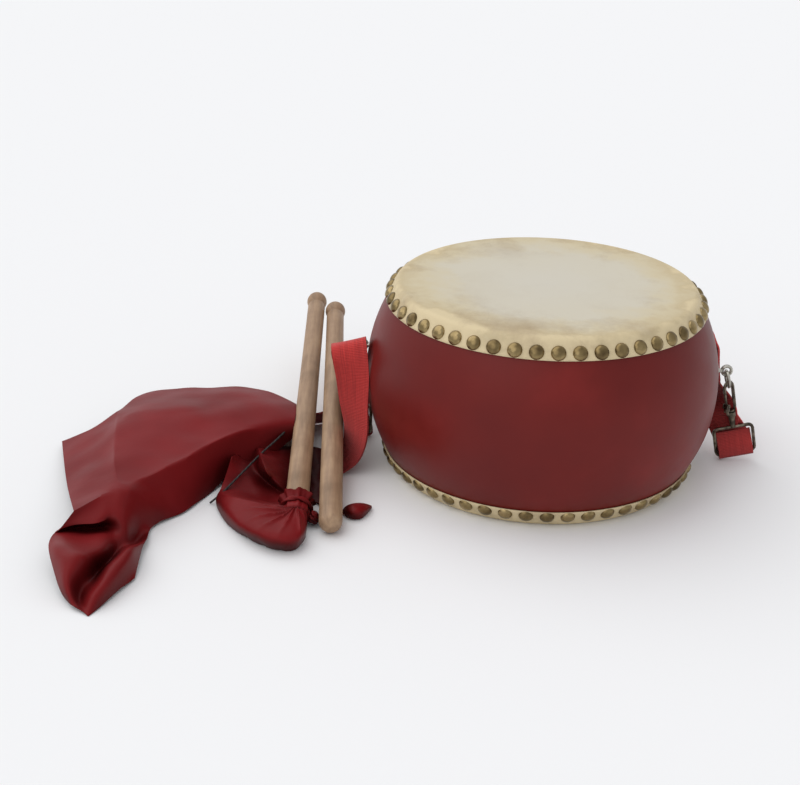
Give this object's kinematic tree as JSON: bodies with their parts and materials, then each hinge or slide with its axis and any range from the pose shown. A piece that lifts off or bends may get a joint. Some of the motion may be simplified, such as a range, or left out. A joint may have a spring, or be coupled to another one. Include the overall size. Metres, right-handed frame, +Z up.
{
  "type": "waist drum",
  "caption": "Barrel waist drum with nailed hide heads, snap-hooked carrying strap, two wooden beaters and tied silk scarves.",
  "frame": {"origin": "centre of the drum's lower head, on the floor", "axes": "+Z up along the drum's axis, +X towards the right-hand snap hook, +Y away from the viewer"},
  "size_m": [0.4979, 0.4263, 0.1358],
  "materials": {
    "red_lacquer": "satin lacquer on wood",
    "raw_hide": "scraped rawhide",
    "plated_steel": "dull plated",
    "dark_bronze": "dark antique",
    "red_webbing": "woven",
    "plain_wood": "sanded",
    "red_satin": "satin",
    "black_cord": "twisted"
  },
  "bodies": {
    "drum": {"right_ring_plate": "plated_steel", "right_screw_eye": "plated_steel", "right_strap_lead": "red_webbing", "left_ring_plate": "plated_steel", "left_screw_eye": "plated_steel", "left_strap_lead": "red_webbing", "drum_shell": "red_lacquer", "top_skin": "raw_hide", "bottom_skin": "raw_hide", "sound_spring": "plated_steel", "front_spring_eye": "plated_steel", "back_spring_eye": "plated_steel", "strap_webbing": "red_webbing", "silk_scarf": "red_satin", "tied_silk": "red_satin", "silk_tail": "red_satin", "black_cord": "black_cord"},
    "right_ring_body": {"right_ring": "plated_steel"},
    "right_strap_eye_body": {"right_strap_eye": "dark_bronze", "right_strap_end": "red_webbing"},
    "right_hook_body": {"right_hook": "dark_bronze", "right_gate_pin": "dark_bronze"},
    "right_gate_body": {"right_gate": "dark_bronze"},
    "left_ring_body": {"left_ring": "plated_steel"},
    "left_strap_eye_body": {"left_strap_eye": "dark_bronze", "left_strap_end": "red_webbing"},
    "left_hook_body": {"left_hook": "dark_bronze", "left_gate_pin": "dark_bronze"},
    "left_gate_body": {"left_gate": "dark_bronze"},
    "stick_1_body": {"stick_1": "plain_wood", "silk_knot": "red_satin"},
    "stick_2_body": {"stick_2": "plain_wood"}
  },
  "joints": [
    {"name": "right_ring_swing", "type": "hinge", "parent": "drum", "child": "right_ring_body", "pos_m": [0.13308, 0.01752, 0.07041], "axis": [0.1305, -0.9914, 0], "range_deg": [0, 70], "deforming": ["right_strap_lead"]},
    {"name": "right_strap_eye_swing", "type": "hinge", "parent": "right_ring_body", "child": "right_strap_eye_body", "pos_m": [0.13555, 0.01785, 0.05867], "axis": [0.1305, -0.9914, 0], "range_deg": [0, 30], "deforming": ["right_strap_lead"]},
    {"name": "right_hook_swivel", "type": "hinge", "parent": "right_strap_eye_body", "child": "right_hook_body", "pos_m": [0.13555, 0.01785, 0.05867], "axis": [-0.2061, -0.0271, 0.9782], "range_deg": [-75, 0]},
    {"name": "right_gate_open", "type": "hinge", "parent": "right_hook_body", "child": "right_gate_body", "pos_m": [0.13549, 0.01486, 0.04386], "axis": [-0.7234, 0.6774, -0.1336], "range_deg": [0, 22], "stiffness_Nm_per_rad": 0.002},
    {"name": "left_ring_swing", "type": "hinge", "parent": "drum", "child": "left_ring_body", "pos_m": [-0.13206, 0.02329, 0.0704], "axis": [-0.9848, 0.1736, 0], "range_deg": [-5, 8], "deforming": ["left_strap_lead"]},
    {"name": "left_strap_eye_swing", "type": "hinge", "parent": "left_ring_body", "child": "left_strap_eye_body", "pos_m": [-0.13206, 0.02329, 0.0584], "axis": [-0.9848, 0.1736, 0], "range_deg": [-4, 4], "deforming": ["left_strap_lead"]},
    {"name": "left_hook_swivel", "type": "hinge", "parent": "left_strap_eye_body", "child": "left_hook_body", "pos_m": [-0.13206, 0.02329, 0.0584], "axis": [0, 0, 1], "range_deg": [-75, 0]},
    {"name": "left_gate_open", "type": "hinge", "parent": "left_hook_body", "child": "left_gate_body", "pos_m": [-0.12808, 0.02559, 0.044], "axis": [0.5, -0.866, 0], "range_deg": [0, 22], "stiffness_Nm_per_rad": 0.002},
    {"name": "stick_1_lift", "type": "slide", "parent": "drum", "child": "stick_1_body", "axis": [0, 0, 1], "range_m": [0, 0.04], "deforming": ["tied_silk", "silk_tail"]},
    {"name": "stick_2_pull", "type": "slide", "parent": "drum", "child": "stick_2_body", "axis": [0.139, -0.9903, 0], "range_m": [0, 0.04]}
  ]
}
